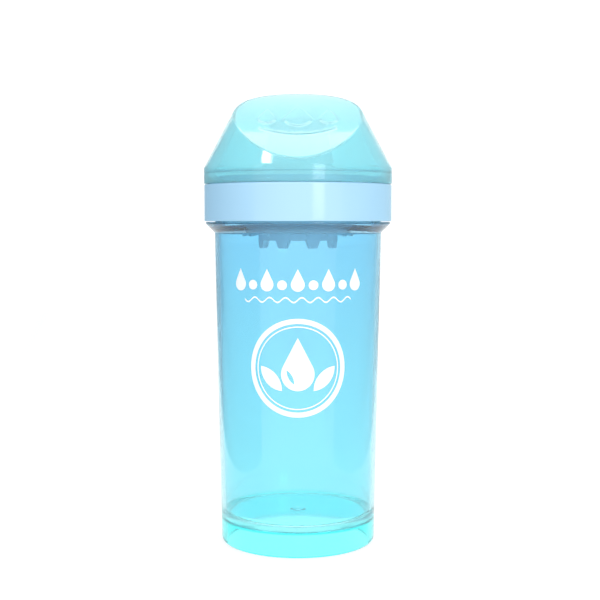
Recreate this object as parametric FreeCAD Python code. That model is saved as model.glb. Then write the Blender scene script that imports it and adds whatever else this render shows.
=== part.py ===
"""Toddler's sippy cup of 360 ml: tapered beaker, mixer basket in its neck, screw-on spout lid and overcap.

Frame: millimetres, +Z up. The origin is the centre of the beaker's foot, on the surface it stands on.
-Y is the printed front. The overcap's face slopes down to the front, and the spout stands behind the axis.
Each piece is one STEP file in parts/. From the table up:
  cup_body      beaker with a raised floor, a hollow foot, a flared shoulder and a threaded neck
  fruit_mixer   stepped strainer basket that hangs in the neck, with prongs below
  seal_ring     silicone gasket between the neck's rim and the spout piece
  spout_insert  deck with the hard spout, and sockets below for both valves
  screw_collar  threaded ring that clamps the spout piece down
  flow_valve    silicone slit valve under the spout
  vent_valve    silicone duckbill under the air hole
  overcap       travel cap over the spout, a cone cut by one crowned sloping face
"""

import FreeCAD
import Part
import math
import os

V = FreeCAD.Vector
X = V(1, 0, 0)
Y = V(0, 1, 0)
Z = V(0, 0, 1)
ORIGIN = V(0, 0, 0)

# ---- used throughout ----
margin = 1.0                 # how far a cut runs past what it cuts
overlap = 0.5                # how far joined forms reach into each other
tolerance = 0.05             # for picking edges by their height

# ---- beaker ----
foot_radius = 32.15          # outer radius at the table
body_top_radius = 34.75      # outer radius where the shoulder starts
body_height = 129.2          # height where the shoulder starts
wall = 1.8
floor_height = 12.2          # top of the floor above the table
floor_thickness = 2.0
floor_corner = 2.4           # inner fillet round the floor
foot_wall = 2.4
foot_edge = 1.4              # outer rounding of the foot
gate_radius = 3.3            # raised moulding mark in the middle of the floor
gate_height = 0.5

# ---- neck and its thread ----
neck_inset = 0.35            # neck's outside inside the body's top radius
neck_wall = 2.4
neck_height = 13.1           # rim above the shoulder flange
flange_edge = 0.75           # straight edge of the shoulder flange
flange_setback = 0.55        # flange inside the collar's outside
rim_round = 0.4
thread_pitch = 4.0
thread_height = 1.3
thread_root_width = 2.2
thread_crest_width = 1.0
neck_turns = 1.25
collar_turns = 1.0
thread_radial_gap = 0.3
thread_flank_gap = 0.15      # under the neck's thread, where the collar pulls
neck_thread_lift = 4.3       # first turn's middle above the shoulder flange
thread_bury = 0.25           # ridge's root inside the wall it stands on

# ---- mixer basket ----
seat_depth = 1.2             # recess in the rim for the basket's lip
seat_width = 1.0
fit_gap = 0.15               # round pieces that drop into each other
mixer_wall = 1.3
mixer_side_gap = 0.35
mixer_draft = 1.2            # how much the basket narrows down the neck
mixer_drop = 15.4            # rim down to the basket's upper floor
middle_tier_radius = 23.2
middle_tier_drop = 2.7
lower_tier_radius = 16.5
lower_tier_drop = 2.6
prong_count = 8
prong_length = 3.1
prong_root_width = 6.2
prong_tip_width = 3.4
prong_thickness = 2.0
rib_count = 16
rib_length = 0.8
rib_width = 2.2
side_slot_count = 16
side_slot_width = 3.0
side_slot_height = 6.5
side_slot_reach = 8.0        # half depth of the cut for a side slot
floor_slot_count = 16
floor_slot_width = 2.4
tier_hole_radius = 1.3
sieve_hole_radius = 1.35
sieve_rings = ((1, 0.0), (6, 4.6), (12, 9.2))   # count and radius of each ring of holes

# ---- seal, spout piece and collar ----
contact_gap = 0.05           # axial gap where one body rests on another
seal_thickness = 1.6
seal_inner_inset = 2.6       # seal's inside, in from the neck's inside
seal_edge = 0.4
side_gap = 0.45              # seal and spout piece inside the collar
insert_flange_thickness = 1.8
collar_wall = 3.0
collar_top_thickness = 1.8
collar_lip = 4.6             # how far the collar's top reaches in over the spout piece
collar_foot_gap = 0.25
collar_step_height = 3.0     # narrow band that the overcap slides over
collar_step_inset = 1.95
collar_edge = 0.5
deck_gap = 0.3
deck_rise = 1.5              # deck's top above the collar
deck_thickness = 1.8
deck_edge = 1.0

# ---- spout ----
spout_centre_y = 9.5
spout_lean = 1.5             # tip's shift away from the axis
spout_height = 23.5
spout_base = (17.5, 9.6)     # half width and half depth on the deck
spout_waist = (13.6, 6.4)
spout_tip = (12.2, 4.9)
spout_waist_share = 0.5
spout_wall = 1.8
spout_tip_round = 1.6
spout_root_round = 1.5       # fillet where the spout rises from the deck
sip_hole_radius = 1.1
sip_hole_count = 3
sip_hole_spacing = 5.0

# ---- valves ----
flow_socket_radius = 7.0
flow_socket_wall = 1.4
socket_length = 4.2
vent_y = -17.0
vent_socket_radius = 5.0
vent_socket_wall = 1.3
vent_hole_radius = 1.2
vent_dish_radius = 4.2
vent_dish_depth = 0.7
valve_gap = 0.05
valve_wall = 1.4
valve_floor = 1.2
valve_rim_width = 1.2
slit_width = 0.3
slit_length = 6.0
bill_length = 5.0
bill_width = 5.2
bill_tip = 1.0
bill_wall = 1.0              # at both ends of the duckbill's slit
valve_tab_length = 5.0
valve_tab_width = 4.5
valve_tab_root = 1.0         # tab's end inside the valve

# ---- overcap ----
cap_wall = 1.75
cap_slide_gap = 0.1          # inside of the skirt over the collar's step
cap_proud = 0.13             # overcap's outside beyond the collar's
cap_foot_gap = 0.15
cap_skirt_height = 6.6
cone_slope = 0.529           # radius lost per unit of height
cone_height = 47.0           # above the skirt, before the face cuts it
face_lift = 2.65             # sloping face's lowest point above the skirt
face_tilt = 39.5             # degrees, at the front
face_radius = 160.0          # crown of the sloping face, seen from the side
face_edge = 2.0              # rounding round the face
cap_land_height = 4.2        # narrow part of the bore, which grips the collar's step
cap_foot_edge = 0.5
relief_height = 0.4          # raised drops on the sloping face
relief_y = -10.0             # middle of the motif
big_drop = (18.0, 5.6)       # length and radius of the middle drop
small_drop = (12.0, 3.6)
small_drop_x = 12.5
small_drop_y = -1.0          # beside the middle drop's centre
ripple_radius = 30.0         # curved bar below the drops
ripple_width = 1.8
ripple_reach = 15.0          # half width of the bar
ripple_drop = 15.0           # bar's lowest point below the middle drop's centre

# ---- worked out from the above ----
neck_radius = body_top_radius - neck_inset
neck_bore = neck_radius - neck_wall
collar_bore = neck_radius + thread_height + thread_radial_gap
collar_radius = collar_bore + collar_wall
flange_radius = collar_radius - flange_setback
shoulder_top = body_height + flange_radius - body_top_radius
flange_top = shoulder_top + flange_edge
rim_height = flange_top + neck_height
seal_bottom = rim_height + contact_gap
seal_top = seal_bottom + seal_thickness
insert_bottom = seal_top + contact_gap
insert_flange_top = insert_bottom + insert_flange_thickness
collar_bottom = flange_top + collar_foot_gap
collar_top = insert_flange_top + collar_top_thickness
collar_ledge = collar_top - collar_step_height
collar_step_radius = collar_radius - collar_step_inset
insert_radius = collar_bore - side_gap
collar_opening = insert_radius - collar_lip
deck_radius = collar_opening - deck_gap
deck_top = collar_top + deck_rise
deck_bottom = deck_top - deck_thickness
seat_radius = neck_bore + seat_width
cap_radius = collar_radius + cap_proud
cap_bottom = collar_ledge + cap_foot_gap
crease_height = cap_bottom + cap_skirt_height


def body_radius(z):
    """Outside of the beaker's straight tapered wall at height z."""
    return foot_radius + (body_top_radius - foot_radius) * z / body_height


def edge_path(points):
    """Wire through (y, z) points; a third item (y, z, (my, mz)) makes an arc through that middle point."""
    edges = []
    here = V(0, points[0][0], points[0][1])
    for item in points[1:]:
        there = V(0, item[0], item[1])
        if len(item) == 3:
            edges.append(Part.Arc(here, V(0, item[2][0], item[2][1]), there).toShape())
        else:
            edges.append(Part.LineSegment(here, there).toShape())
        here = there
    return edges


def turned(points):
    """Solid of revolution about Z from a closed outline of (radius, z) points."""
    edges = edge_path(points)
    last = V(0, points[-1][0], points[-1][1])
    first = V(0, points[0][0], points[0][1])
    if last.distanceToPoint(first) > 1e-6:
        edges.append(Part.LineSegment(last, first).toShape())
    return Part.Face(Part.Wire(edges)).revolve(ORIGIN, Z, 360)


def corner_arc(radius, corner, start, end):
    """Middle point of the quarter arc that rounds a square corner between start and end."""
    centre = (start[0] + end[0] - corner[0], start[1] + end[1] - corner[1])
    reach = radius / math.hypot(corner[0] - centre[0], corner[1] - centre[1])
    return (centre[0] + (corner[0] - centre[0]) * reach, centre[1] + (corner[1] - centre[1]) * reach)


def dome_middle(radius, z, height):
    """Middle point of the arc from (radius, z) up to the axis, part of a sphere centred on the axis."""
    sphere = (radius ** 2 + height ** 2) / (2 * height)
    half = math.asin(radius / sphere) / 2
    return (sphere * math.sin(half), z + height - sphere * (1 - math.cos(half)))


def rod(radius, z0, z1, x=0.0, y=0.0):
    """Upright cylinder between two heights."""
    return Part.makeCylinder(radius, z1 - z0, V(x, y, z0), Z)


def block(half_x, half_y, z0, z1, x=0.0, y=0.0):
    """Upright box centred on (x, y)."""
    return Part.makeBox(2 * half_x, 2 * half_y, z1 - z0, V(x - half_x, y - half_y, z0))


def around(shape, count, first=0.0):
    """Copies of a shape, evenly turned about Z, as one compound."""
    copies = []
    for i in range(count):
        copy = shape.copy()
        copy.rotate(ORIGIN, Z, first + 360.0 * i / count)
        copies.append(copy)
    return Part.makeCompound(copies)


def thread(root, crest, turns, z_start):
    """Helical ridge of trapezoid section from radius root to crest, its middle starting at z_start on +X."""
    bury = thread_bury if crest > root else -thread_bury
    half_root = thread_root_width / 2
    half_crest = thread_crest_width / 2
    slope = (half_root - half_crest) / (crest - root)
    half_bury = half_root + bury * slope
    corners = [
        V(root - bury, 0, z_start - half_bury),
        V(crest, 0, z_start - half_crest),
        V(crest, 0, z_start + half_crest),
        V(root - bury, 0, z_start + half_bury),
    ]
    section = Part.makePolygon(corners + corners[:1])
    helix = Part.makeHelix(thread_pitch, thread_pitch * turns, root)
    helix.translate(V(0, 0, z_start))
    return Part.Wire(helix).makePipeShell([section], True, True)


# ---- the pieces ----
def cup_body():
    top_inside = body_radius(body_height) - wall
    floor_inside = body_radius(floor_height) - wall
    skirt_inside = foot_radius - foot_wall
    under_floor = floor_height - floor_thickness
    foot_corner = (foot_radius, 0)
    foot_low = (foot_radius - foot_edge, 0)
    foot_high = (body_radius(foot_edge), foot_edge)
    floor_flat = floor_inside - floor_corner
    well_corner = (floor_inside, floor_height)
    well_low = (floor_flat, floor_height)
    well_high = (floor_inside, floor_height + floor_corner)
    outline = [
        (0, under_floor),
        (skirt_inside, under_floor),
        (skirt_inside, 0),
        foot_low,
        (*foot_high, corner_arc(foot_edge, foot_corner, foot_low, foot_high)),
        (body_top_radius, body_height),
        (flange_radius, shoulder_top),
        (flange_radius, flange_top),
        (neck_radius, flange_top),
        (neck_radius, rim_height - rim_round),
        (neck_radius - rim_round, rim_height),
        (seat_radius, rim_height),
        (seat_radius, rim_height - seat_depth),
        (neck_bore, rim_height - seat_depth),
        (neck_bore, flange_top),
        (top_inside, body_height),
        well_high,
        (*well_low, corner_arc(floor_corner, well_corner, well_low, well_high)),
        (gate_radius, floor_height),
        (0, floor_height + gate_height, dome_middle(gate_radius, floor_height, gate_height)),
    ]
    ridge = thread(neck_radius, neck_radius + thread_height, neck_turns, flange_top + neck_thread_lift)
    return turned(outline).fuse(ridge)


def fruit_mixer():
    lip_bottom = rim_height - seat_depth
    outer_top = neck_bore - mixer_side_gap
    outer_low = outer_top - mixer_draft
    upper = rim_height - mixer_drop
    middle = upper - middle_tier_drop
    lower = middle - lower_tier_drop
    t = mixer_wall
    basket = turned([
        (0, lower),
        (lower_tier_radius, lower),
        (lower_tier_radius, middle),
        (middle_tier_radius, middle),
        (middle_tier_radius, upper),
        (outer_low, upper),
        (outer_top, lip_bottom),
        (seat_radius - fit_gap, lip_bottom),
        (seat_radius - fit_gap, rim_height),
        (outer_top - t, rim_height),
        (outer_low - t, upper + t),
        (middle_tier_radius - t, upper + t),
        (middle_tier_radius - t, middle + t),
        (lower_tier_radius - t, middle + t),
        (lower_tier_radius - t, lower + t),
        (0, lower + t),
    ])
    prong_seat = lower_tier_radius - prong_thickness / 2
    prong_face = Part.Face(Part.makePolygon([
        V(-prong_root_width / 2, 0, lower + t / 2),
        V(prong_root_width / 2, 0, lower + t / 2),
        V(prong_tip_width / 2, 0, lower - prong_length),
        V(-prong_tip_width / 2, 0, lower - prong_length),
        V(-prong_root_width / 2, 0, lower + t / 2),
    ]))
    prong = prong_face.extrude(V(0, prong_thickness, 0))
    prong.translate(V(0, -prong_seat - prong_thickness / 2, 0))
    rib = block(rib_width / 2, t / 2, middle - rib_length, middle + t / 2, 0, middle_tier_radius - t / 2)
    half_step = 180.0 / prong_count
    solid = basket.fuse([around(prong, prong_count, half_step), around(rib, rib_count, 180.0 / rib_count)])
    side_middle = (lip_bottom + upper) / 2
    side_slot = block(side_slot_width / 2, side_slot_reach, side_middle - side_slot_height / 2,
                      side_middle + side_slot_height / 2, 0, neck_bore)
    floor_mid = (middle_tier_radius + outer_low - t) / 2
    floor_half = (outer_low - middle_tier_radius) / 2 - t
    floor_slot = block(floor_slot_width / 2, floor_half, upper - t, upper + 2 * t, 0, floor_mid)
    tier_mid = (lower_tier_radius + middle_tier_radius - t) / 2
    tier_hole = rod(tier_hole_radius, middle - t, middle + 2 * t, 0, tier_mid)
    cuts = [
        around(side_slot, side_slot_count),
        around(floor_slot, floor_slot_count),
        around(tier_hole, rib_count),
    ]
    for count, radius in sieve_rings:
        cuts.append(around(rod(sieve_hole_radius, lower - t, lower + 2 * t, 0, radius), count))
    return solid.cut(cuts)


def seal_ring():
    inner = neck_bore - seal_inner_inset
    ring = rod(insert_radius, seal_bottom, seal_top).cut(rod(inner, seal_bottom, seal_top))
    edges = [e for e in ring.Edges if e.BoundBox.ZLength < tolerance]
    return ring.makeFillet(seal_edge, edges)


def spout_wire(half_width, half_depth, z, y):
    """Oval outline of the spout at one height."""
    return Part.Wire(Part.Ellipse(V(half_width, y, z), V(0, y + half_depth, z), V(0, y, z)).toShape())


def spout_form(inset, z_low, z_high):
    """Spout's outside, or its channel when inset is the wall."""
    waist = deck_top + spout_waist_share * spout_height
    sections = (
        (spout_base, z_low, 0.0),
        (spout_waist, waist, spout_waist_share),
        (spout_tip, z_high, 1.0),
    )
    wires = [
        spout_wire(half[0] - inset, half[1] - inset, z, spout_centre_y + share * spout_lean)
        for half, z, share in sections
    ]
    return Part.makeLoft(wires, True, False)


def spout_insert():
    spout_top = deck_top + spout_height
    plate = turned([
        (0, deck_bottom),
        (deck_radius - deck_thickness, deck_bottom),
        (deck_radius - deck_thickness, insert_bottom),
        (insert_radius, insert_bottom),
        (insert_radius, insert_flange_top),
        (deck_radius, insert_flange_top),
        (deck_radius, deck_top - deck_edge),
        (deck_radius - deck_edge, deck_top),
        (0, deck_top),
    ])
    spout = spout_form(0, deck_bottom + overlap, spout_top)
    rim = [e for e in spout.Edges if e.BoundBox.ZMin > spout_top - tolerance]
    spout = spout.makeFillet(spout_tip_round, rim)
    socket_low = deck_bottom - socket_length
    sockets = [
        rod(flow_socket_radius, socket_low, deck_bottom + overlap, 0, spout_centre_y),
        rod(vent_socket_radius, socket_low, deck_bottom + overlap, 0, vent_y),
    ]
    solid = plate.fuse([spout] + sockets)
    root = [
        e for e in solid.Edges
        if abs(e.BoundBox.ZMin - deck_top) < tolerance and abs(e.BoundBox.ZMax - deck_top) < tolerance
        and spout_tip[0] < e.BoundBox.XLength / 2 < spout_base[0] + margin
    ]
    solid = solid.makeFillet(spout_root_round, root)
    channel = spout_form(spout_wall, deck_top, spout_top - spout_wall)
    cuts = [
        channel,
        rod(flow_socket_radius - flow_socket_wall, socket_low - margin, deck_top + overlap,
            0, spout_centre_y),
        rod(vent_socket_radius - vent_socket_wall, socket_low - margin, deck_bottom, 0, vent_y),
        rod(vent_hole_radius, deck_bottom - margin, deck_top + margin, 0, vent_y),
        rod(vent_dish_radius, deck_top - vent_dish_depth, deck_top + margin, 0, vent_y),
    ]
    tip_y = spout_centre_y + spout_lean
    for i in range(sip_hole_count):
        x = (i - (sip_hole_count - 1) / 2) * sip_hole_spacing
        cuts.append(rod(sip_hole_radius, spout_top - 2 * spout_wall, spout_top + margin, x, tip_y))
    return solid.cut(cuts)


def screw_collar():
    outline = [
        (collar_bore, collar_bottom),
        (collar_radius - collar_edge, collar_bottom),
        (collar_radius, collar_bottom + collar_edge),
        (collar_radius, collar_ledge - collar_edge),
        (collar_radius - collar_edge, collar_ledge),
        (collar_step_radius, collar_ledge),
        (collar_step_radius, collar_top - collar_edge),
        (collar_step_radius - collar_edge, collar_top),
        (collar_opening, collar_top),
        (collar_opening, insert_flange_top),
        (collar_bore, insert_flange_top),
    ]
    half_pitch = thread_pitch / 2
    mean_width = (thread_root_width + thread_crest_width) / 2
    play = half_pitch - mean_width
    below = half_pitch - play + thread_flank_gap
    start = flange_top + neck_thread_lift - below
    ridge = thread(collar_bore, collar_bore - thread_height, collar_turns, start)
    return turned(outline).fuse(ridge)


def push_on_valve(socket, y):
    """Silicone cup that pushes over a socket of that radius: its walls, floor and rim."""
    inner = socket + valve_gap
    socket_low = deck_bottom - socket_length
    low = socket_low - valve_gap - valve_floor
    outer = inner + valve_wall
    top = deck_bottom - valve_gap
    rim_low = top - valve_floor
    cup = rod(outer, low, top, 0, y).cut(rod(inner, socket_low - valve_gap, top, 0, y))
    rim = rod(outer + valve_rim_width, rim_low, top, 0, y).cut(rod(outer, rim_low, top, 0, y))
    return cup.fuse(rim).removeSplitter(), low, outer


def flow_valve():
    cup, low, outer = push_on_valve(flow_socket_radius, spout_centre_y)
    tab = block(valve_tab_width / 2, valve_tab_length / 2, low, low + valve_floor, 0,
                spout_centre_y - outer - valve_tab_length / 2 + valve_tab_root)
    z0 = low - margin
    z1 = low + valve_floor + margin
    slit = block(slit_length / 2, slit_width / 2, z0, z1, 0, spout_centre_y)
    cross = block(slit_width / 2, slit_length / 2, z0, z1, 0, spout_centre_y)
    return cup.fuse(tab).cut([slit, cross])


def vent_valve():
    cup, low, outer = push_on_valve(vent_socket_radius, vent_y)
    mouth = Part.makePolygon([
        V(-bill_width / 2, vent_y - bill_width / 2, low),
        V(bill_width / 2, vent_y - bill_width / 2, low),
        V(bill_width / 2, vent_y + bill_width / 2, low),
        V(-bill_width / 2, vent_y + bill_width / 2, low),
        V(-bill_width / 2, vent_y - bill_width / 2, low),
    ])
    lips = Part.makePolygon([
        V(-bill_width / 2, vent_y - bill_tip / 2, low - bill_length),
        V(bill_width / 2, vent_y - bill_tip / 2, low - bill_length),
        V(bill_width / 2, vent_y + bill_tip / 2, low - bill_length),
        V(-bill_width / 2, vent_y + bill_tip / 2, low - bill_length),
        V(-bill_width / 2, vent_y - bill_tip / 2, low - bill_length),
    ])
    bill = Part.makeLoft([mouth, lips], True, True)
    duct = block(bill_width / 2 - bill_wall, slit_width / 2, low - bill_length - margin,
                 low + valve_floor + margin, 0, vent_y)
    return cup.fuse(bill).cut(duct)


def face_drum(inset):
    """Level cylinder whose top is the overcap's crowned sloping face, drawn in by inset."""
    tilt = math.radians(face_tilt)
    front = -(cap_radius - cone_slope * face_lift)
    centre_y = front + face_radius * math.sin(tilt)
    centre_z = crease_height + face_lift - face_radius * math.cos(tilt)
    return Part.makeCylinder(face_radius - inset, 4 * cap_radius, V(-2 * cap_radius, centre_y, centre_z), X)


def straight_line(edge):
    """True for the seam of the cone, which isn't an edge of the face."""
    return edge.Curve.TypeId == "Part::GeomLine"


def cap_form(inset, z_low):
    """Overcap's outer form drawn in by inset: the cone over its skirt, cut by the crowned sloping face."""
    lean = math.hypot(1, cone_slope)
    radius = cap_radius - inset
    crease = crease_height - inset * (lean - 1) / cone_slope
    tip = crease + cone_height
    tip_radius = radius - cone_slope * cone_height
    cone = turned([(0, z_low), (radius, z_low), (radius, crease), (tip_radius, tip), (0, tip)])
    form = cone.common(face_drum(inset))
    face_edges = [
        e for e in form.Edges
        if e.BoundBox.ZMax > crease + margin and e.BoundBox.ZLength > margin and not straight_line(e)
    ]
    return form.makeFillet(max(face_edge - inset, cap_foot_edge), face_edges)


def drop_face(size, x, y):
    """Water drop in the XY plane, its point towards +Y: a circle and two lines that touch it."""
    length, radius = size
    tip = V(x, y + length / 2, 0)
    middle = V(x, y - length / 2 + radius, 0)
    lean = math.acos(radius / (tip.y - middle.y))
    right = middle + V(radius * math.sin(lean), radius * math.cos(lean), 0)
    left = middle + V(-radius * math.sin(lean), radius * math.cos(lean), 0)
    return Part.Face(Part.Wire([
        Part.Arc(right, middle - Y * radius, left).toShape(),
        Part.LineSegment(left, tip).toShape(),
        Part.LineSegment(tip, right).toShape(),
    ]))


def ripple_face(y):
    """Curved bar in the XY plane, hollow side towards +Y, its lowest point at y."""
    centre = V(0, y + ripple_radius, 0)
    lean = math.asin(ripple_reach / ripple_radius)

    def on_arc(radius, angle):
        return centre + V(radius * math.sin(angle), -radius * math.cos(angle), 0)

    outer = ripple_radius
    inner = ripple_radius - ripple_width
    middle = ripple_radius - ripple_width / 2
    round_end = ripple_width / 2 / middle
    return Part.Face(Part.Wire([
        Part.Arc(on_arc(outer, -lean), on_arc(outer, 0), on_arc(outer, lean)).toShape(),
        Part.Arc(on_arc(outer, lean), on_arc(middle, lean + round_end), on_arc(inner, lean)).toShape(),
        Part.Arc(on_arc(inner, lean), on_arc(inner, 0), on_arc(inner, -lean)).toShape(),
        Part.Arc(on_arc(inner, -lean), on_arc(middle, -lean - round_end), on_arc(outer, -lean)).toShape(),
    ]))


def relief():
    """Raised motif on the sloping face: three drops over a curved bar."""
    faces = [
        drop_face(big_drop, 0, relief_y),
        drop_face(small_drop, -small_drop_x, relief_y + small_drop_y),
        drop_face(small_drop, small_drop_x, relief_y + small_drop_y),
        ripple_face(relief_y - ripple_drop),
    ]
    raised = face_drum(-relief_height).cut(face_drum(cap_wall / 2))
    columns = []
    for face in faces:
        column = face.extrude(Z * 2 * cap_radius)
        column.translate(Z * crease_height)
        columns.append(column.common(raised))
    return columns


def overcap():
    outer = cap_form(0, cap_bottom)
    foot = [e for e in outer.Edges if e.BoundBox.ZMax < cap_bottom + tolerance and not straight_line(e)]
    outer = outer.makeFillet(cap_foot_edge, foot)
    land_top = cap_bottom + cap_land_height
    inner = cap_form(cap_wall, land_top)
    land = rod(collar_step_radius + cap_slide_gap, cap_bottom - margin, land_top + margin)
    return outer.fuse(relief()).cut([inner, land])


nodes = {
    "cup_body": cup_body,
    "fruit_mixer": fruit_mixer,
    "seal_ring": seal_ring,
    "spout_insert": spout_insert,
    "screw_collar": screw_collar,
    "flow_valve": flow_valve,
    "vent_valve": vent_valve,
    "overcap": overcap,
}

os.makedirs("parts", exist_ok=True)
for name, build in nodes.items():
    shape = build()
    if not shape.isValid():
        raise ValueError(name + " is not a valid solid")
    print(name, "solids", len(shape.Solids), "volume %.1f" % shape.Volume,
          "z %.2f to %.2f" % (shape.BoundBox.ZMin, shape.BoundBox.ZMax))
    shape.exportStep(os.path.join("parts", name + ".step"))
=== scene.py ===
"""Toddler's sippy cup: clear blue beaker, fruit mixer, screw-on spout lid and a slanted clear overcap."""

import bmesh
import bpy
import math
from mathutils import Matrix, Vector


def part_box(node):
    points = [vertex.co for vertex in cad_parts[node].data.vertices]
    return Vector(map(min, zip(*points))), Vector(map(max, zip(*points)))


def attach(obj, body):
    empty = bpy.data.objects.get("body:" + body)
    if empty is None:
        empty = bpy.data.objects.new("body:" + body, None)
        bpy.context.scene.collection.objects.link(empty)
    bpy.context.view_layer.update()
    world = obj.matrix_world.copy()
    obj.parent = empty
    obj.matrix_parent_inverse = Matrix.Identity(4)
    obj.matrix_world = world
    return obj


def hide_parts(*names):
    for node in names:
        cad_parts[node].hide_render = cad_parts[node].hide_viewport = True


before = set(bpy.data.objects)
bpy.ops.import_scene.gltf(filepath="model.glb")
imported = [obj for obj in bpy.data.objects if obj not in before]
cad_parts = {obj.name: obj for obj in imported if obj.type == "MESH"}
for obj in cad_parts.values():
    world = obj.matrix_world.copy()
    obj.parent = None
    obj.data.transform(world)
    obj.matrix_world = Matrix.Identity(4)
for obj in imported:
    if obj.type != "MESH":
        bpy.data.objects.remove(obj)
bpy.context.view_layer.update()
MM = 0.001

# ---------------------------------------------------------------- the table and the light
# A lit white table top in a white studio, with a grey flag at each side that draws the edges of the clear
# plastic. A panel hangs over the back, a strip stands front right and a small lamp hangs front left.
camera_distance = 469.2 * MM
camera_height = 133.83 * MM
camera_offset = 0.86 * MM
camera_down = 4.006            # degrees
lens_mm = 67.26
table_glow = 0.82              # outside the cup's foot
# painted pool of light: the table glows brighter under the cup's hollow foot
painted_pool_under_cup = 1.35
glow_edge = (0.029, 0.031)     # radii between which the table's glow changes
table_size = 6.0
table_tone = "#8a8a8a"
behind_light = 1.2             # radiance of the white wall behind
front_light = 1.12
flag_start = (0.135, -0.12)    # nearest corner of the right flag
flag_end = (0.50, 1.25)
flag_height = 0.34
flag_toe = 0.12                # far end's foot stands this much nearer the middle than its top
flag_tones = ("#aabbc5", "#ccdade")
studio = bpy.context.scene


def linear(code):
    """sRGB hex colour as linear red, green and blue."""
    parts = [int(code[i:i + 2], 16) / 255 for i in (1, 3, 5)]
    return tuple(c / 12.92 if c <= 0.04045 else ((c + 0.055) / 1.055) ** 2.4 for c in parts)


def add(tree, kind, inputs=None, **settings):
    """Adds one node; inputs holds, by name or number, a value or another node's output."""
    made = tree.nodes.new(kind)
    for name, value in settings.items():
        setattr(made, name, value)
    for name, value in (inputs or {}).items():
        if isinstance(value, bpy.types.NodeSocket):
            tree.links.new(value, made.inputs[name])
        else:
            made.inputs[name].default_value = value
    return made


def new_material(name):
    """Empty material and its tree."""
    material = bpy.data.materials.new(name)
    material.use_nodes = True
    material.node_tree.nodes.clear()
    return material, material.node_tree


def object_of(name, mesh):
    """Links a mesh to the scene as an object at the origin."""
    made = bpy.data.objects.new(name, mesh)
    studio.collection.objects.link(made)
    return made


def panel(name, place, aim, size, power):
    """Rectangular softbox at place, facing aim; size is its width and height."""
    data = bpy.data.lights.new(name, "AREA")
    data.shape = "RECTANGLE"
    data.size, data.size_y = size
    data.energy = power
    lamp = bpy.data.objects.new(name, data)
    lamp.location = place
    lamp.rotation_euler = (Vector(aim) - Vector(place)).to_track_quat("-Z", "Y").to_euler()
    studio.collection.objects.link(lamp)
    return lamp


lens = bpy.data.cameras.new("camera")
lens.lens = lens_mm
lens.sensor_width = 36
lens.clip_start = 0.01
camera = bpy.data.objects.new("camera", lens)
camera.location = (camera_offset, -camera_distance, camera_height)
camera.rotation_euler = (math.radians(90 - camera_down), 0, 0)
studio.collection.objects.link(camera)
studio.camera = camera
studio.view_settings.view_transform = "Standard"

studio.world = bpy.data.worlds.new("bright_field_room")
studio.world.use_nodes = True
room = studio.world.node_tree
room.nodes.clear()
towards = add(room, "ShaderNodeTexCoord").outputs["Generated"]
way = add(room, "ShaderNodeSeparateXYZ", {0: towards})
strength = add(room, "ShaderNodeMapRange", {"Value": way.outputs["Y"], "From Min": -0.2, "From Max": 0.2,
                                            "To Min": front_light, "To Max": behind_light}).outputs[0]
glow = add(room, "ShaderNodeBackground", {"Color": (1, 1, 1, 1), "Strength": strength})
add(room, "ShaderNodeOutputWorld", {"Surface": glow.outputs[0]})

middle = (0, 0, 0.12)
panel("overhead_panel", (0, 0.2, 0.95), middle, (0.9, 0.36), 2.9)
panel("right_strip", (0.40, -0.88, 0.44), (0, 0, 0.44), (0.23, 0.62), 1.6)
panel("left_lamp", (-0.50, -0.41, 0.95), middle, (0.2, 0.1), 1.6)

top = bmesh.new()
bmesh.ops.create_grid(top, x_segments=1, y_segments=1, size=table_size)
table_mesh = bpy.data.meshes.new("table")
top.to_mesh(table_mesh)
top.free()
table = object_of("table", table_mesh)
# Frosted acrylic with an even, matt, shadowless glow, and a painted pool of light under the cup's hollow
# foot, brighter than the rest, that lights the foot from below.
acrylic, tree = new_material("white_acrylic_painted_pool")
matt = add(tree, "ShaderNodeBsdfDiffuse", {"Color": (*linear(table_tone), 1)})
place = add(tree, "ShaderNodeTexCoord").outputs["Object"]
from_axis = add(tree, "ShaderNodeVectorMath", {0: place}, operation="LENGTH").outputs["Value"]
brightness = add(tree, "ShaderNodeMapRange", {
    "Value": from_axis, "From Min": glow_edge[0], "From Max": glow_edge[1], "To Min": painted_pool_under_cup,
    "To Max": table_glow}).outputs[0]
lit = add(tree, "ShaderNodeEmission", {"Strength": brightness})
both = add(tree, "ShaderNodeAddShader", {0: matt.outputs[0], 1: lit.outputs[0]})
add(tree, "ShaderNodeOutputMaterial", {"Surface": both.outputs[0]})
table_mesh.materials.append(acrylic)
# Plain grey card: matt, out of the camera's sight, seen only in the plastic.
(x0, y0), (x1, y1) = flag_start, flag_end
for side, tone in zip((-1, 1), flag_tones):
    sheet = bpy.data.meshes.new("flag")
    sheet.from_pydata([(side * x0, y0, 0), (side * (x1 - flag_toe), y1, 0), (side * x1, y1, flag_height),
                       (side * x0, y0, flag_height)], [], [(0, 1, 2, 3)])
    card, tree = new_material("grey_card")
    matt = add(tree, "ShaderNodeBsdfDiffuse", {"Color": (*linear(tone), 1)})
    add(tree, "ShaderNodeOutputMaterial", {"Surface": matt.outputs[0]})
    sheet.materials.append(card)
    flag = object_of("flag_left" if side < 0 else "flag_right", sheet)
    flag.visible_camera = False
studio.cycles.max_bounces = 32
studio.cycles.diffuse_bounces = 10
studio.cycles.glossy_bounces = 24
studio.cycles.transmission_bounces = 24

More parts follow.
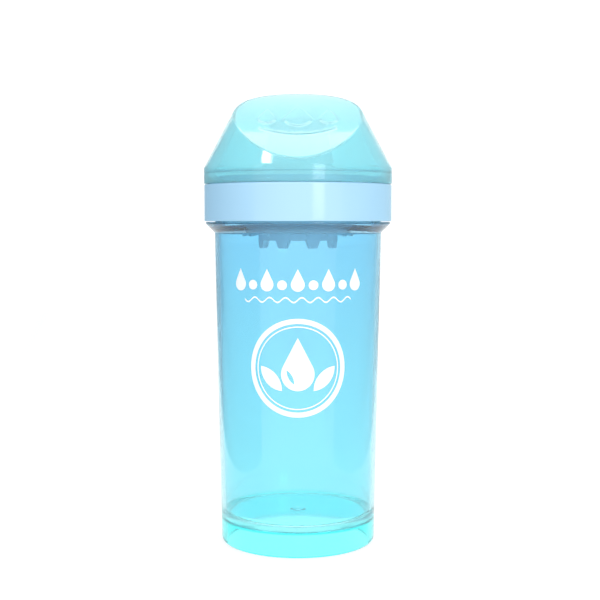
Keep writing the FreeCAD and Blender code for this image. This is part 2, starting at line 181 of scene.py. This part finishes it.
# ---------------------------------------------------------------- the beaker
# Clear blue copolyester, injection moulded in one piece: a tapered wall over a hollow foot, a flared
# shoulder and a threaded neck. Polished inside and out, with a deeper tint at the thick foot.
foot_radius = 32.15
wall_top_radius = 34.75
wall_top = 129.2
wall = 1.8
floor_height = 12.2
floor_thickness = 2.0
floor_corner = 2.4
foot_wall = 2.4
foot_band = 13.0               # height of the deeper tint
foot_band_reach = 0.5          # how far inside the foot's wall it reaches
gate_radius = 3.3              # raised moulding mark in the middle of the floor
gate_slope = 0.7
gate_height = 0.5
flange_radius = 38.45
shoulder_top = 132.9
flange_top = 133.65
neck_radius = 34.4
neck_bore = 32.0
rim_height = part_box("cup_body")[1].z / MM
seat_radius = 33.0
seat_depth = 1.2
turn_steps = 192
thread_pitch = 4.0
thread_height = 1.3
thread_root_width = 2.2
thread_crest_width = 1.0
thread_bury = 0.2              # ridge's root inside the wall it stands on
neck_thread_lift = 4.3
neck_turns = 1.25


def rounded(corners, closed=True, steps=5, support=0.25):
    """Outline through (radius, height, fillet) corners, with an arc at each fillet and points beside it."""
    spans = []
    for i, (r, z, fillet) in enumerate(corners):
        here = Vector((r, z))
        if not fillet or (not closed and i in (0, len(corners) - 1)):
            spans.append([here])
            continue
        back = (Vector(corners[i - 1][:2]) - here).normalized()
        ahead = (Vector(corners[(i + 1) % len(corners)][:2]) - here).normalized()
        half = back.angle(ahead) / 2
        centre = here + (back + ahead).normalized() * fillet / math.sin(half)
        start = here + back * fillet / math.tan(half) - centre
        turn = start.angle_signed(here + ahead * fillet / math.tan(half) - centre)
        spans.append([centre + Matrix.Rotation(-turn * k / steps, 2) @ start for k in range(steps + 1)])
    points = []
    for i, span in enumerate(spans):
        points += span
        if i == len(spans) - 1 and not closed:
            break
        following = spans[(i + 1) % len(spans)][0]
        gap = following - span[-1]
        if gap.length > 3 * support:
            points.append(span[-1] + gap.normalized() * support)
            points.append(following - gap.normalized() * support)
    return points


def new_tree(name, **inputs):
    """Empty geometry node tree with named inputs; returns it and the outputs of its input node."""
    tree = bpy.data.node_groups.new(name, "GeometryNodeTree")
    for label, kind in inputs.items():
        tree.interface.new_socket(label, in_out="INPUT", socket_type="NodeSocket" + kind)
    tree.interface.new_socket("Geometry", in_out="OUTPUT", socket_type="NodeSocketGeometry")
    return tree, add(tree, "NodeGroupInput").outputs


def end_tree(tree, geometry, material):
    """Ends a tree with real geometry in its material."""
    real = add(tree, "GeometryNodeRealizeInstances", {"Geometry": geometry})
    done = add(tree, "GeometryNodeSetMaterial", {"Geometry": real.outputs[0], "Material": material})
    add(tree, "NodeGroupOutput", {0: done.outputs[0]})
    return tree


def turning_tree():
    """Turns an outline of vertices, radius on X and height on Z, about the Z axis."""
    tree, given = new_tree("turn_about_axis", Outline="Geometry", Steps="Int", Material="Material")
    size = add(tree, "GeometryNodeAttributeDomainSize", {0: given["Outline"]}).outputs["Point Count"]
    columns = add(tree, "ShaderNodeMath", {0: given["Steps"], 1: 1.0}, operation="ADD").outputs[0]
    grid = add(tree, "GeometryNodeMeshGrid", {"Vertices X": columns, "Vertices Y": size})
    index = add(tree, "GeometryNodeInputIndex").outputs[0]
    row = add(tree, "ShaderNodeMath", {0: index, 1: size}, operation="MODULO").outputs[0]
    ratio = add(tree, "ShaderNodeMath", {0: index, 1: size}, operation="DIVIDE").outputs[0]
    column = add(tree, "ShaderNodeMath", {0: ratio}, operation="FLOOR").outputs[0]
    share = add(tree, "ShaderNodeMath", {0: column, 1: given["Steps"]}, operation="DIVIDE").outputs[0]
    angle = add(tree, "ShaderNodeMath", {0: share, 1: math.tau}, operation="MULTIPLY").outputs[0]
    place = add(tree, "GeometryNodeInputPosition").outputs[0]
    sample = add(tree, "GeometryNodeSampleIndex", {"Geometry": given["Outline"], "Index": row},
                 data_type="FLOAT_VECTOR", domain="POINT")
    tree.links.new(place, sample.inputs["Value"])
    spun = add(tree, "ShaderNodeVectorRotate", {"Vector": sample.outputs[0], "Angle": angle},
               rotation_type="Z_AXIS")
    moved = add(tree, "GeometryNodeSetPosition", {"Geometry": grid.outputs[0], "Position": spun.outputs[0]})
    merged = add(tree, "GeometryNodeMergeByDistance", {"Geometry": moved.outputs[0], "Distance": 1e-6})
    smooth = add(tree, "GeometryNodeSetShadeSmooth", {"Geometry": merged.outputs[0]})
    return end_tree(tree, smooth.outputs[0], given["Material"])


def thread_tree():
    """Sweeps a ridge's section, X outwards and Y up, along a helix that rises from +X."""
    tree, given = new_tree("screw_thread", Section="Geometry", Radius="Float", Pitch="Float", Turns="Float",
                           Start="Float", Material="Material")
    pitch, turns = given["Pitch"], given["Turns"]
    rise = add(tree, "ShaderNodeMath", {0: pitch, 1: turns}, operation="MULTIPLY").outputs[0]
    helix = add(tree, "GeometryNodeCurveSpiral", {
        "Resolution": 96, "Rotations": turns, "Start Radius": given["Radius"],
        "End Radius": given["Radius"], "Height": rise})
    upright = add(tree, "GeometryNodeSetCurveNormal", {"Curve": helix.outputs[0]}, mode="Z_UP")
    section = add(tree, "GeometryNodeMeshToCurve", {"Mesh": given["Section"]})
    swept = add(tree, "GeometryNodeCurveToMesh", {
        "Curve": upright.outputs[0], "Profile Curve": section.outputs[0], "Fill Caps": True})
    lift = add(tree, "ShaderNodeCombineXYZ", {"Z": given["Start"]}).outputs[0]
    raised = add(tree, "GeometryNodeTransform", {"Geometry": swept.outputs[0], "Translation": lift})
    return end_tree(tree, raised.outputs[0], given["Material"])


turning = turning_tree()
threading = thread_tree()


def through_nodes(name, mesh, tree, **values):
    """Runs a node tree on a mesh and returns the plain mesh that it gives."""
    source = object_of(name + "_source", mesh)
    modifier = source.modifiers.new("nodes", "NODES")
    modifier.node_group = tree
    for item in tree.interface.items_tree:
        if item.in_out == "INPUT" and item.name in values:
            modifier[item.identifier] = values[item.name]
    graph = bpy.context.evaluated_depsgraph_get()
    result = bpy.data.meshes.new_from_object(source.evaluated_get(graph))
    bpy.data.objects.remove(source)
    result.name = name
    result.materials.clear()
    result.materials.append(values["Material"])
    result.polygons.foreach_set("material_index", [0] * len(result.polygons))
    return result


def outwards(mesh, *others):
    """Joins closed meshes into the first one and points every face away from its inside."""
    work = bmesh.new()
    for part in (mesh, *others):
        work.from_mesh(part)
    bmesh.ops.remove_doubles(work, verts=work.verts, dist=1e-7)
    bmesh.ops.recalc_face_normals(work, faces=work.faces)
    work.to_mesh(mesh)
    work.free()
    return mesh


def turned(name, outline, material, closed=True):
    """Mesh of a piece turned from an outline in millimetres."""
    points = [(p.x * MM, 0, p.y * MM) for p in outline]
    if closed:
        points.append(points[0])
    line = bpy.data.meshes.new(name)
    line.from_pydata(points, [], [])
    return outwards(through_nodes(name, line, turning, Steps=turn_steps, Material=material))


def thread_ridge(name, root, crest, turns, start, material):
    """Mesh of a screw thread's ridge from radius root to crest, its middle starting at height start."""
    bury = thread_bury if crest > root else -thread_bury
    depth = crest - root
    corners = [(-bury, -thread_root_width / 2), (depth, -thread_crest_width / 2),
               (depth, thread_crest_width / 2), (-bury, thread_root_width / 2)]
    line = bpy.data.meshes.new(name)
    line.from_pydata([(x * MM, y * MM, 0) for x, y in corners], [(0, 1), (1, 2), (2, 3), (3, 0)], [])
    return through_nodes(name, line, threading, Radius=root * MM, Pitch=thread_pitch * MM, Turns=turns,
                         Start=start * MM, Material=material)


def fitted(piece, body, slot, *nodes):
    """Gives a finished piece its body and hides the parts it stands for; its slot is not used."""
    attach(piece, body)
    if nodes:
        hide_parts(*nodes)
    return piece


def wall_radius(height):
    """Outside of the beaker's tapered wall."""
    return foot_radius + (wall_top_radius - foot_radius) * height / wall_top


def tinted_plastic(name, low, high, heights, transmission, roughness, ior, ripple):
    """See-through moulded plastic with slow mould waves; its tint goes from low to high between heights."""
    wave_spacing = 18.18       # mm, across the flow of the melt
    wave_stretch = 0.35        # the waves are longer along the flow, which is upwards
    wave_depth = 0.5
    unevenness = 0.06
    material, tree = new_material(name)
    place = add(tree, "ShaderNodeTexCoord").outputs["Object"]
    stretched = add(tree, "ShaderNodeMapping", {"Vector": place, "Scale": (1, 1, wave_stretch)}).outputs[0]
    waves = add(tree, "ShaderNodeTexNoise", {
        "Vector": stretched, "Scale": 1 / (wave_spacing * MM), "Detail": 1.0}).outputs[0]
    bump = add(tree, "ShaderNodeBump", {
        "Height": waves, "Strength": ripple, "Distance": wave_depth * MM}).outputs[0]
    up = add(tree, "ShaderNodeSeparateXYZ", {0: place}).outputs["Z"]
    lower, upper = (height * MM for height in heights)
    rise = add(tree, "ShaderNodeMapRange", {"Value": up, "From Min": lower, "From Max": upper}).outputs[0]
    uneven = add(tree, "ShaderNodeMapRange", {
        "Value": waves, "To Min": -unevenness, "To Max": unevenness}).outputs[0]
    share = add(tree, "ShaderNodeMath", {0: rise, 1: uneven}, operation="ADD").outputs[0]
    tint = add(tree, "ShaderNodeMix", {0: share}, data_type="RGBA")
    tint.inputs[6].default_value = (*linear(low), 1)
    tint.inputs[7].default_value = (*linear(high), 1)
    shader = add(tree, "ShaderNodeBsdfPrincipled", {
        "Base Color": tint.outputs[2],
        "Transmission Weight": transmission,
        "Roughness": roughness,
        "IOR": ior,
        "Normal": bump,
    })
    add(tree, "ShaderNodeOutputMaterial", {"Surface": shader.outputs[0]})
    return material


# Copolyester: clear and glossy, its gloss slightly wavy. It looks deeper where it is thick, at the foot. Its
# tint is painted light: lighter and greener towards the bottom, where the table's glow shines up, and darker
# towards the top.
beaker_plastic = tinted_plastic("clear_blue_copolyester", "#c0faff", "#b8ebff", (0, 130),
                                0.94, 0.05, 1.5, 0.2)
foot_plastic = tinted_plastic("deep_blue_copolyester", "#78ffff", "#b8fbff", (10.5, 13),
                              0.92, 0.08, 1.5, 0.15)
beaker_outline = rounded([
    (0, floor_height - floor_thickness, 0),
    (foot_radius - foot_wall, floor_height - floor_thickness, 1.2),
    (foot_radius - foot_wall, 0, 0.4),
    (foot_radius, 0, 1.4),
    (wall_radius(foot_band), foot_band, 0),
    (wall_top_radius, wall_top, 0.8),
    (flange_radius, shoulder_top, 0.5),
    (flange_radius, flange_top, 0.25),
    (neck_radius, flange_top, 0.3),
    (neck_radius, rim_height, 0.4),
    (seat_radius, rim_height, 0.15),
    (seat_radius, rim_height - seat_depth, 0.1),
    (neck_bore, rim_height - seat_depth, 0.1),
    (neck_bore, flange_top, 1.5),
    (wall_top_radius - wall, wall_top, 1.5),
    (wall_radius(floor_height) - wall, floor_height, floor_corner),
    (gate_radius, floor_height, 0.6),
    (gate_radius - gate_slope, floor_height + 0.8 * gate_height, 0.5),
    (0, floor_height + gate_height, 0),
], closed=False)
neck_thread = thread_ridge("neck_thread", neck_radius, neck_radius + thread_height, neck_turns,
                           flange_top + neck_thread_lift, beaker_plastic)
beaker_mesh = turned("beaker", beaker_outline, beaker_plastic, closed=False)
beaker = object_of("beaker", outwards(beaker_mesh, neck_thread))
beaker.data.materials.append(foot_plastic)
inner_limit = (foot_radius - foot_wall - foot_band_reach) * MM
for face in beaker.data.polygons:
    if face.center.z < foot_band * MM and face.center.xy.length > inner_limit:
        face.material_index = 1
fitted(beaker, "cup", "cup", "cup_body")

# ---------------------------------------------------------------- the print on the beaker
# White screen-printed ink, a thin raised film on the front of the wall: a row of drops and dots, a fine
# wavy line, and a round badge with a drop between two leaves.
ink_lift = 0.01
ink_film = 0.07
row_height = 111.0
row_pitch = 6.15
row_count = 9
row_drop = (8.8, 2.7)          # length and radius
dot_radius = 1.9
dot_drop = 1.9                 # dot's centre below the row's middle
wave_height = 103.3
wave_reach = 22.4
wave_length = 6.4
wave_rise = 0.95
wave_line = 0.6
badge_height = 76.5
badge_radius = 19.5
badge_line = 2.0
fine_line_inset = 3.0
fine_line = 0.45
badge_drop = (21.0, 6.6)
badge_drop_lift = 1.5
shine_place = (-2.9, -3.6)     # leaf-shaped gap in the drop
shine_size = (6.4, 1.7)
shine_turn = -62
badge_leaf = (13.0, 5.2)
leaf_place = (10.6, -4.2)      # from the badge's centre
leaf_turn = 48
strip_width = 1.5              # print is cut this fine to bend with the wall


def arc_points(x, z, radius, first, last, steps):
    """Points on a circle from one angle to another, in degrees from +X towards +Z."""
    turns = [math.radians(first + (last - first) * k / steps) for k in range(steps + 1)]
    return [(x + radius * math.cos(t), z + radius * math.sin(t)) for t in turns]


def drop_outline(x, z, length, radius, steps=28):
    """Water drop, point up, centred at (x, z)."""
    reach = length - 2 * radius + radius
    lean = math.degrees(math.asin(radius / reach))
    low = z - length / 2 + radius
    return arc_points(x, low, radius, 180 - lean, 360 + lean, steps) + [(x, low + reach)]


def circle_outline(x, z, radius, steps=48):
    return arc_points(x, z, radius, 0, 360 - 360 / steps, steps - 1)


def leaf_outline(x, z, length, width, turn, steps=12):
    """Pointed leaf: two arcs that meet at its ends, turned by degrees."""
    radius = (length ** 2 / 4 + width ** 2 / 4) / width
    half = math.degrees(math.asin(length / 2 / radius))
    side = arc_points(0, width / 2 - radius, radius, 90 - half, 90 + half, steps)
    points = side + [(-a, -b) for a, b in side[1:-1]]
    c, s = math.cos(math.radians(turn)), math.sin(math.radians(turn))
    return [(x + a * c - b * s, z + a * s + b * c) for a, b in points]


def wave_outline(steps=140):
    xs = [-wave_reach + 2 * wave_reach * k / steps for k in range(steps + 1)]
    mid = [wave_height + wave_rise * math.sin(math.tau * x / wave_length) for x in xs]
    low = [(x, z - wave_line / 2) for x, z in zip(xs, mid)]
    return low + [(x, z + wave_line / 2) for x, z in zip(xs[::-1], mid[::-1])]


def flat_ink(name, outlines):
    """Flat film filled between outlines, an inner one making a hole, and cut into upright strips."""
    work = bmesh.new()
    for outline in outlines:
        verts = [work.verts.new((x * MM, 0, z * MM)) for x, z in outline]
        for i, vert in enumerate(verts):
            work.edges.new((verts[i - 1], vert))
    bmesh.ops.triangle_fill(work, use_beauty=True, edges=work.edges)
    xs = [v.co.x for v in work.verts]
    cut = math.ceil(min(xs) / (strip_width * MM))
    while cut * strip_width * MM < max(xs):
        everything = work.verts[:] + work.edges[:] + work.faces[:]
        here = (cut * strip_width * MM, 0, 0)
        bmesh.ops.bisect_plane(work, geom=everything, plane_co=here, plane_no=(1, 0, 0))
        cut += 1
    base = work.faces[:]
    grown = bmesh.ops.extrude_face_region(work, geom=base, use_keep_orig=True)["geom"]
    for vert in (g for g in grown if isinstance(g, bmesh.types.BMVert)):
        vert.co.y -= ink_film * MM
    mesh = bpy.data.meshes.new(name)
    work.to_mesh(mesh)
    work.free()
    return mesh


def printing_tree():
    """Repeats flat film in a level row and bends it round the tapered wall, towards -Y."""
    tree, given = new_tree("print_on_wall", Film="Geometry", Count="Int", Pitch="Float", Foot="Float",
                           Slope="Float", Lift="Float", Material="Material")
    last = add(tree, "ShaderNodeMath", {0: given["Count"], 1: -1.0}, operation="ADD").outputs[0]
    span = add(tree, "ShaderNodeMath", {0: last, 1: given["Pitch"]}, operation="MULTIPLY").outputs[0]
    start = add(tree, "ShaderNodeMath", {0: span, 1: -0.5}, operation="MULTIPLY").outputs[0]
    begin = add(tree, "ShaderNodeCombineXYZ", {"X": start}).outputs[0]
    step = add(tree, "ShaderNodeCombineXYZ", {"X": given["Pitch"]}).outputs[0]
    line = add(tree, "GeometryNodeMeshLine", {
        "Count": given["Count"], "Start Location": begin, "Offset": step})
    row = add(tree, "GeometryNodeInstanceOnPoints", {"Points": line.outputs[0], "Instance": given["Film"]})
    real = add(tree, "GeometryNodeRealizeInstances", {"Geometry": row.outputs[0]})
    place = add(tree, "ShaderNodeSeparateXYZ", {0: add(tree, "GeometryNodeInputPosition").outputs[0]}).outputs
    taper = add(tree, "ShaderNodeMath", {0: place["Z"], 1: given["Slope"]}, operation="MULTIPLY").outputs[0]
    bare = add(tree, "ShaderNodeMath", {0: taper, 1: given["Foot"]}, operation="ADD").outputs[0]
    lifted = add(tree, "ShaderNodeMath", {0: bare, 1: given["Lift"]}, operation="ADD").outputs[0]
    radius = add(tree, "ShaderNodeMath", {0: lifted, 1: place["Y"]}, operation="SUBTRACT").outputs[0]
    angle = add(tree, "ShaderNodeMath", {0: place["X"], 1: bare}, operation="DIVIDE").outputs[0]
    sine = add(tree, "ShaderNodeMath", {0: angle}, operation="SINE").outputs[0]
    cosine = add(tree, "ShaderNodeMath", {0: angle}, operation="COSINE").outputs[0]
    x = add(tree, "ShaderNodeMath", {0: radius, 1: sine}, operation="MULTIPLY").outputs[0]
    depth = add(tree, "ShaderNodeMath", {0: radius, 1: cosine}, operation="MULTIPLY").outputs[0]
    y = add(tree, "ShaderNodeMath", {0: depth, 1: -1.0}, operation="MULTIPLY").outputs[0]
    wrapped = add(tree, "ShaderNodeCombineXYZ", {"X": x, "Y": y, "Z": place["Z"]}).outputs[0]
    bent = add(tree, "GeometryNodeSetPosition", {"Geometry": real.outputs[0], "Position": wrapped})
    return end_tree(tree, bent.outputs[0], given["Material"])


def screen_ink():
    """White screen ink: matt, opaque, with the faint mesh texture that the screen leaves."""
    mesh_spacing = 0.4         # mm; a real screen's mesh is finer and wouldn't show
    mark_depth = 0.02
    material, tree = new_material("white_screen_ink")
    place = add(tree, "ShaderNodeTexCoord").outputs["Object"]
    mesh_marks = add(tree, "ShaderNodeTexNoise", {
        "Vector": place, "Scale": 1 / (mesh_spacing * MM), "Detail": 1.0}).outputs[0]
    bump = add(tree, "ShaderNodeBump", {
        "Height": mesh_marks, "Strength": 0.2, "Distance": mark_depth * MM}).outputs[0]
    cover = add(tree, "ShaderNodeMix", {0: mesh_marks}, data_type="RGBA")
    cover.inputs[6].default_value = (*linear("#f8fbfd"), 1)
    cover.inputs[7].default_value = (*linear("#ffffff"), 1)
    shader = add(tree, "ShaderNodeBsdfPrincipled", {
        "Base Color": cover.outputs[2], "Roughness": 0.45, "IOR": 1.5, "Normal": bump})
    add(tree, "ShaderNodeOutputMaterial", {"Surface": shader.outputs[0]})
    return material


printing = printing_tree()
ink = screen_ink()


def printed(name, outlines, count=1, pitch=0.0):
    """A piece of print on the beaker."""
    mesh = through_nodes(name, flat_ink(name, outlines), printing, Count=count, Pitch=pitch * MM,
                         Foot=foot_radius * MM, Slope=(wall_top_radius - foot_radius) / wall_top,
                         Lift=ink_lift * MM, Material=ink)
    return fitted(object_of(name, outwards(mesh)), "cup", "cup")


printed("print_drops", [drop_outline(0, row_height, *row_drop)], (row_count + 1) // 2, 2 * row_pitch)
printed("print_dots", [circle_outline(0, row_height - dot_drop, dot_radius)], row_count // 2, 2 * row_pitch)
printed("print_wave", [wave_outline()])
for name, outer, line in (("print_badge_ring", badge_radius, badge_line),
                          ("print_badge_line", badge_radius - fine_line_inset, fine_line)):
    printed(name, [circle_outline(0, badge_height, radius, 96) for radius in (outer, outer - line)])
printed("print_badge_drop", [
    drop_outline(0, badge_height + badge_drop_lift, *badge_drop),
    leaf_outline(shine_place[0], badge_height + shine_place[1], *shine_size, shine_turn)])
for side, end in ((-1, "left"), (1, "right")):
    printed("print_leaf_" + end, [
        leaf_outline(side * leaf_place[0], badge_height + leaf_place[1], *badge_leaf, side * leaf_turn)])

# ---------------------------------------------------------------- the screw collar
# Opaque pastel blue polypropylene with a smooth outside, injection moulded and screwed down over the spout
# piece, whose flange it clamps on the seal. A narrower step on top takes the overcap.
collar_low, collar_high = (corner.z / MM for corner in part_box("screw_collar"))
collar_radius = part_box("screw_collar")[1].x / MM
collar_wall = 3.0
collar_step_height = 3.0
collar_step_inset = 1.95
collar_opening = 30.95
collar_top_thickness = 1.8
collar_turns = 1.0
collar_thread_start = 2.55     # above the beaker's flange


def moulded(name, dark, light, roughness, peel=0.12, ior=1.49):
    """Opaque moulded plastic: a soft gloss over fine orange peel, its colour drifting between two shades."""
    peel_spacing = 1.111       # mm
    peel_depth = 0.2
    drift_spacing = 41.67      # mm, the melt's slow change of shade
    material, tree = new_material(name)
    place = add(tree, "ShaderNodeTexCoord").outputs["Object"]
    grain = add(tree, "ShaderNodeTexNoise", {
        "Vector": place, "Scale": 1 / (peel_spacing * MM), "Detail": 3.0}).outputs[0]
    bump = add(tree, "ShaderNodeBump", {
        "Height": grain, "Strength": peel, "Distance": peel_depth * MM}).outputs[0]
    drift = add(tree, "ShaderNodeTexNoise", {
        "Vector": place, "Scale": 1 / (drift_spacing * MM), "Detail": 2.0}).outputs[0]
    colour = add(tree, "ShaderNodeMix", {0: drift}, data_type="RGBA")
    colour.inputs[6].default_value = (*linear(dark), 1)
    colour.inputs[7].default_value = (*linear(light), 1)
    shader = add(tree, "ShaderNodeBsdfPrincipled", {
        "Base Color": colour.outputs[2], "Roughness": roughness, "IOR": ior, "Normal": bump})
    add(tree, "ShaderNodeOutputMaterial", {"Surface": shader.outputs[0]})
    return material


# Polished polypropylene: an even pastel with a clean, bright highlight.
collar_plastic = moulded("pastel_blue_polypropylene", "#aad4ee", "#b0daf4", 0.14, 0.04)
collar_bore = collar_radius - collar_wall
collar_ledge = collar_high - collar_step_height
collar_outline = rounded([
    (collar_bore, collar_low, 0.3),
    (collar_radius, collar_low, 0.5),
    (collar_radius, collar_ledge, 0.5),
    (collar_radius - collar_step_inset, collar_ledge, 0.2),
    (collar_radius - collar_step_inset, collar_high, 0.5),
    (collar_opening, collar_high, 0.3),
    (collar_opening, collar_high - collar_top_thickness, 0.1),
    (collar_bore, collar_high - collar_top_thickness, 0.3),
])
collar_thread = thread_ridge("collar_thread", collar_bore, collar_bore - thread_height, collar_turns,
                             flange_top + collar_thread_start, collar_plastic)
collar_mesh = turned("collar", collar_outline, collar_plastic)
collar = object_of("collar", outwards(collar_mesh, collar_thread))
fitted(collar, "lid", "collar", "screw_collar")


# ---------------------------------------------------------------- the mixer basket
# Satin white polypropylene, moulded as a stepped strainer with prongs below. It hangs by its lip in the
# recess of the neck's rim and lifts out.
def merged_copy(node, name, material, sharp=30):
    """Copy of a part's mesh with its triangles joined and its round faces smooth."""
    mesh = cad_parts[node].data.copy()
    mesh.name = name
    work = bmesh.new()
    work.from_mesh(mesh)
    bmesh.ops.remove_doubles(work, verts=work.verts, dist=1e-6)
    for edge in work.edges:
        edge.smooth = edge.is_manifold and edge.calc_face_angle() < math.radians(sharp)
    for face in work.faces:
        face.smooth = True
    work.to_mesh(mesh)
    work.free()
    mesh.materials.clear()
    mesh.materials.append(material)
    return object_of(name, mesh)


# Satin polypropylene: a dull sheen over a visible grain, cool white.
mixer_plastic = moulded("satin_white_polypropylene", "#ecf0fb", "#f2f5fd", 0.4, 0.2)
mixer = merged_copy("fruit_mixer", "mixer", mixer_plastic)
fitted(mixer, "cup", "mixer", "fruit_mixer")

# ---------------------------------------------------------------- the spout piece
# White polypropylene, a deck with a hard drinking spout and two sockets below for the valves. The collar
# clamps its flange. It has the plain semi-gloss of an unpolished food-grade moulding.
spout = merged_copy("spout_insert", "spout", moulded("white_polypropylene", "#f0f5f8", "#f6fafc", 0.3))
fitted(spout, "lid", "spout", "spout_insert")

# ---------------------------------------------------------------- the seal and the valves
# Milky silicone, compression moulded. The seal lies on the neck's rim, and both valves are pushed over their
# sockets under the deck. Silicone looks soft: wide, weak highlights on a faintly grey white.
silicone = moulded("milky_silicone", "#e2e8ec", "#eaeef0", 0.5, 0.05, 1.41)
seal = merged_copy("seal_ring", "seal", silicone)
fitted(seal, "seal", "silicone", "seal_ring")
flow = merged_copy("flow_valve", "flow_slit_valve", silicone)
fitted(flow, "lid", "silicone", "flow_valve")
vent = merged_copy("vent_valve", "air_valve", silicone)
fitted(vent, "lid", "silicone", "vent_valve")

# ---------------------------------------------------------------- the overcap
# Clear aqua polypropylene, moulded as one shell: a skirt and a cone, cut by one crowned face that slopes
# down to the front and carries three raised drops over a ripple. Slightly hazy, so the spout only glows.
cap_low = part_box("overcap")[0].z / MM
cap_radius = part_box("overcap")[1].x / MM
cap_skirt_height = 6.6
cap_crease = cap_low + cap_skirt_height
cone_slope = 0.529             # radius lost per unit of height
face_lift = 2.65
face_tilt = math.radians(39.5)
face_radius = 160.0
cap_wall = 1.75
cap_land = 4.2                 # height of the narrow bore that grips the collar's step
cap_slide_gap = 0.1
cap_bore = collar_radius - collar_step_inset + cap_slide_gap
face_round = 2.0
inner_round = 0.6
cap_around = 360               # sections round the cap
face_steps = 100               # points on a section's way over the face
inner_steps = 24
edge_steps = 6                 # points on the rounding round the face
cone_stops = (0.1, 0.5, 0.9, 0.985)    # points down the cone, as shares of its length
crease_ease = 0.3              # the crease between cone and skirt is this soft
foot_round = 0.5               # rounding of the skirt's lower edge outside
relief_height = 0.4
relief_soft = 0.35             # half width of the relief's rounded edge
relief_y = -10.0               # middle of the motif
big_drop = (18.0, 5.6)         # length and radius
small_drop = (12.0, 3.6)
small_drop_x = 12.5
small_drop_y = relief_y - 1.0
relief_drops = ((0.0, relief_y, *big_drop), (-small_drop_x, small_drop_y, *small_drop),
                (small_drop_x, small_drop_y, *small_drop))
ripple_radius = 30.0
ripple_width = 1.8
ripple_reach = 15.0
ripple_low = relief_y - 15.0
drum_y = -(cap_radius - cone_slope * face_lift) + face_radius * math.sin(face_tilt)
drum_z = cap_crease + face_lift - face_radius * math.cos(face_tilt)
cone_lean = math.hypot(1, cone_slope)


def face_height(y, inset=0.0):
    """Height of the crowned sloping face at depth y."""
    return drum_z + math.sqrt((face_radius - inset) ** 2 - (y - drum_y) ** 2)


def outside_drop(x, y, length, radius):
    """Distance outside a drop whose point is towards +Y."""
    tip_radius = 0.4
    low = y + length / 2 - radius
    long = length - radius - tip_radius
    lean = (radius - tip_radius) / long
    up = math.sqrt(1 - lean * lean)
    x = abs(x)
    along = low * up - x * lean
    if along < 0:
        return math.hypot(x, low) - radius
    if along > up * long:
        return math.hypot(x, low - long) - tip_radius
    return x * up + low * lean - radius


def outside_ripple(x, y):
    """Distance outside the curved bar below the drops."""
    middle = ripple_radius - ripple_width / 2
    from_centre = y - (ripple_low + ripple_radius)
    lean = math.asin(ripple_reach / ripple_radius)
    angle = max(-lean, min(lean, math.atan2(x, -from_centre)))
    aside, below = x - middle * math.sin(angle), from_centre + middle * math.cos(angle)
    return math.hypot(aside, below) - ripple_width / 2


def relief(x, y):
    """Height of the raised motif over the sloping face."""
    drops = [outside_drop(x - cx, y - cy, *size) for cx, cy, *size in relief_drops]
    outside = min(outside_ripple(x, y), *drops)
    share = max(0.0, min(1.0, 0.5 - outside / (2 * relief_soft)))
    return relief_height * share * share * (3 - 2 * share)


def cap_section(angle, inset, fillet, steps, low):
    """Half outline of the cap's form at one angle: from the axis over the face, then down to low."""
    across, reach = math.cos(angle), math.sin(angle)
    radius = cap_radius - inset
    crease = cap_crease - inset * (cone_lean - 1) / cone_slope

    def fillet_centre(r):
        y = r * reach
        slope = -(y - drum_y) / (face_height(y, inset) - drum_z) * reach
        lean = math.hypot(1, slope)
        return r + fillet * slope / lean, face_height(y, inset) - fillet / lean

    def outside_cone(r):
        r_in, z_in = fillet_centre(r)
        return r_in - radius + cone_slope * (z_in - crease) + fillet * cone_lean

    near, far = 0.0, radius
    for _ in range(40):
        test = (near + far) / 2
        if outside_cone(test) < 0:
            near = test
        else:
            far = test
    points = []
    for k in range(steps + 1):
        r = near * k / steps
        raised = 0.0 if inset else relief(r * across, r * reach)
        points.append((r, face_height(r * reach, inset) + raised))
    r_in, z_in = fillet_centre(near)
    first = math.atan2(points[-1][1] - z_in, points[-1][0] - r_in)
    last = math.atan2(cone_slope, 1)
    for k in range(1, edge_steps + 1):
        a = first + (last - first) * k / edge_steps
        points.append((r_in + fillet * math.cos(a), z_in + fillet * math.sin(a)))
    r0, z0 = points[-1]
    for share in cone_stops:
        points.append((r0 + (radius - r0) * share, z0 + (crease - z0) * share))
    return points + [(radius - crease_ease / 10, crease), (radius, crease - crease_ease),
                     (radius, crease - 0.8), (radius, low)]


def cap_mesh(material):
    """Shell of the overcap: one section at each angle, joined all round."""
    foot = [(cap_radius, cap_low + foot_round), (cap_radius - 0.15, cap_low + 0.15),
            (cap_radius - foot_round, cap_low), (cap_bore + 0.3, cap_low), (cap_bore, cap_low + 0.3),
            (cap_bore, cap_low + cap_land - 0.2), (cap_bore, cap_low + cap_land)]
    verts, faces = [], []
    for i in range(cap_around):
        angle = math.tau * i / cap_around
        outer = cap_section(angle, 0.0, face_round, face_steps, cap_low + 0.8)
        inner = cap_section(angle, cap_wall, inner_round, inner_steps, cap_low + cap_land)
        section = outer + foot + inner[::-1]
        verts += [(r * math.cos(angle) * MM, r * math.sin(angle) * MM, z * MM) for r, z in section]
    count = len(section)
    for i in range(cap_around):
        here, following = i * count, (i + 1) % cap_around * count
        for k in range(count - 1):
            faces.append((here + k, following + k, following + k + 1, here + k + 1))
    mesh = bpy.data.meshes.new("overcap")
    mesh.from_pydata(verts, [], faces)
    mesh.shade_smooth()
    mesh.materials.append(material)
    return outwards(mesh)


# Clarified polypropylene: glossy, greener and milkier than the beaker, with slow waves in its highlights.
cap_plastic = tinted_plastic("clear_aqua_polypropylene", "#bcf8ff", "#c2fbff", (150, 190),
                             0.74, 0.1, 1.49, 0.15)
cap = object_of("cap", cap_mesh(cap_plastic))
fitted(cap, "cap", "cap", "overcap")
